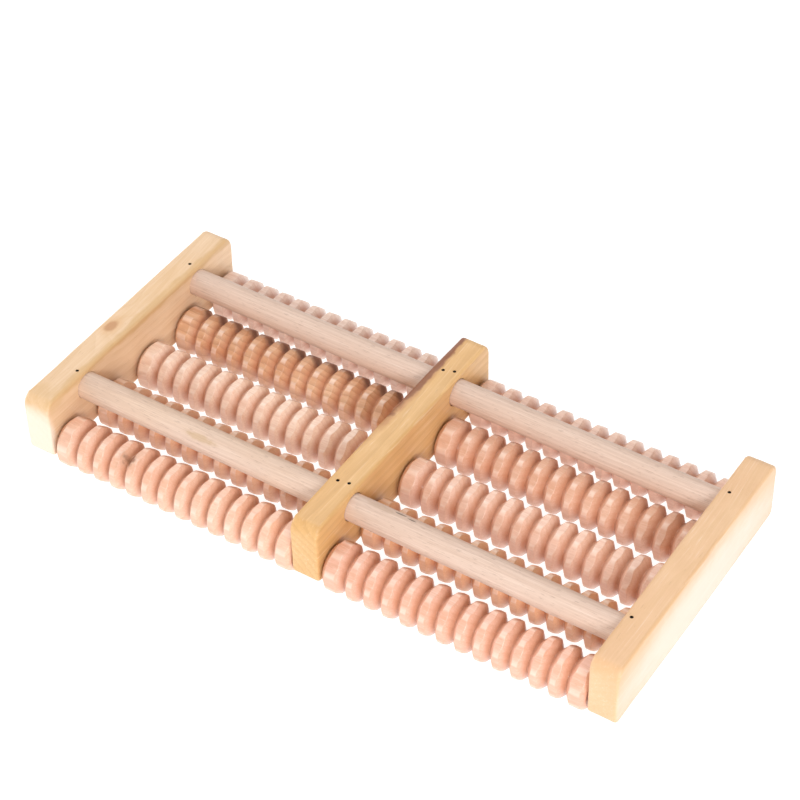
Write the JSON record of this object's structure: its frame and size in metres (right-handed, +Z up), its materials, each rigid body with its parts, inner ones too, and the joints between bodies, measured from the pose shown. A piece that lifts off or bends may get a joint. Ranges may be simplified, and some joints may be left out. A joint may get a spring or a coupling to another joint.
{
  "type": "foot massage roller",
  "caption": "Flat wooden foot massager: two side-by-side banks of ridged, freely spinning rollers between three rails tied by round dowels.",
  "frame": {"origin": "centre of the bounding box on the floor, under the rollers", "axes": "+X along the rollers, +Y along the rails to the back, +Z up. The object lies on its rollers, as it is shown, with the flat nailed edges of the rails on top; in use it is turned over onto those flat edges."},
  "size_m": [0.28, 0.1298, 0.0358],
  "materials": {
    "end_rail_wood": "pale honey softwood, sanded and clear lacquered, satin",
    "centre_rail_wood": "golden ochre wood with a strip of dark bark wane, satin",
    "dowel_wood": "pale pinkish beige wood with fine lengthwise grain, matt",
    "roller_wood": "salmon pink aromatic wood, turned and planed, semi-gloss lacquer",
    "pin_steel": "plain drawn wire",
    "brad_steel": "dark, dull"
  },
  "bodies": {
    "frame": {"left_rail": "end_rail_wood", "centre_rail": "centre_rail_wood", "right_rail": "end_rail_wood", "back_left_dowel": "dowel_wood", "back_right_dowel": "dowel_wood", "front_left_dowel": "dowel_wood", "front_right_dowel": "dowel_wood", "brad_back_left": "brad_steel", "brad_front_left": "brad_steel", "brad_back_centre_left": "brad_steel", "brad_back_centre_right": "brad_steel", "brad_front_centre_left": "brad_steel", "brad_front_centre_right": "brad_steel", "brad_back_right": "brad_steel", "brad_front_right": "brad_steel", "left_pin_1": "pin_steel", "centre_pin_1": "pin_steel", "right_pin_1": "pin_steel", "left_pin_2": "pin_steel", "centre_pin_2": "pin_steel", "right_pin_2": "pin_steel", "left_pin_3": "pin_steel", "centre_pin_3": "pin_steel", "right_pin_3": "pin_steel", "left_pin_4": "pin_steel", "centre_pin_4": "pin_steel", "right_pin_4": "pin_steel", "left_pin_5": "pin_steel", "centre_pin_5": "pin_steel", "right_pin_5": "pin_steel"},
    "left_row_1": {"left_roller_1": "roller_wood"},
    "right_row_1": {"right_roller_1": "roller_wood"},
    "left_row_2": {"left_roller_2": "roller_wood"},
    "right_row_2": {"right_roller_2": "roller_wood"},
    "left_row_3": {"left_roller_3": "roller_wood"},
    "right_row_3": {"right_roller_3": "roller_wood"},
    "left_row_4": {"left_roller_4": "roller_wood"},
    "right_row_4": {"right_roller_4": "roller_wood"},
    "left_row_5": {"left_roller_5": "roller_wood"},
    "right_row_5": {"right_roller_5": "roller_wood"}
  },
  "joints": [
    {"name": "left_row_1_spin", "type": "hinge", "parent": "frame", "child": "left_row_1", "pos_m": [-0.06675, 0.0546, 0.01035], "axis": [1, 0, 0], "continuous": true},
    {"name": "right_row_1_spin", "type": "hinge", "parent": "frame", "child": "right_row_1", "pos_m": [0.06675, 0.0546, 0.01035], "axis": [1, 0, 0], "continuous": true},
    {"name": "left_row_2_spin", "type": "hinge", "parent": "frame", "child": "left_row_2", "pos_m": [-0.06675, 0.0273, 0.01035], "axis": [1, 0, 0], "continuous": true},
    {"name": "right_row_2_spin", "type": "hinge", "parent": "frame", "child": "right_row_2", "pos_m": [0.06675, 0.0273, 0.01035], "axis": [1, 0, 0], "continuous": true},
    {"name": "left_row_3_spin", "type": "hinge", "parent": "frame", "child": "left_row_3", "pos_m": [-0.06675, 0, 0.01035], "axis": [1, 0, 0], "continuous": true},
    {"name": "right_row_3_spin", "type": "hinge", "parent": "frame", "child": "right_row_3", "pos_m": [0.06675, 0, 0.01035], "axis": [1, 0, 0], "continuous": true},
    {"name": "left_row_4_spin", "type": "hinge", "parent": "frame", "child": "left_row_4", "pos_m": [-0.06675, -0.0273, 0.01035], "axis": [1, 0, 0], "continuous": true},
    {"name": "right_row_4_spin", "type": "hinge", "parent": "frame", "child": "right_row_4", "pos_m": [0.06675, -0.0273, 0.01035], "axis": [1, 0, 0], "continuous": true},
    {"name": "left_row_5_spin", "type": "hinge", "parent": "frame", "child": "left_row_5", "pos_m": [-0.06675, -0.0546, 0.01035], "axis": [1, 0, 0], "continuous": true},
    {"name": "right_row_5_spin", "type": "hinge", "parent": "frame", "child": "right_row_5", "pos_m": [0.06675, -0.0546, 0.01035], "axis": [1, 0, 0], "continuous": true}
  ]
}
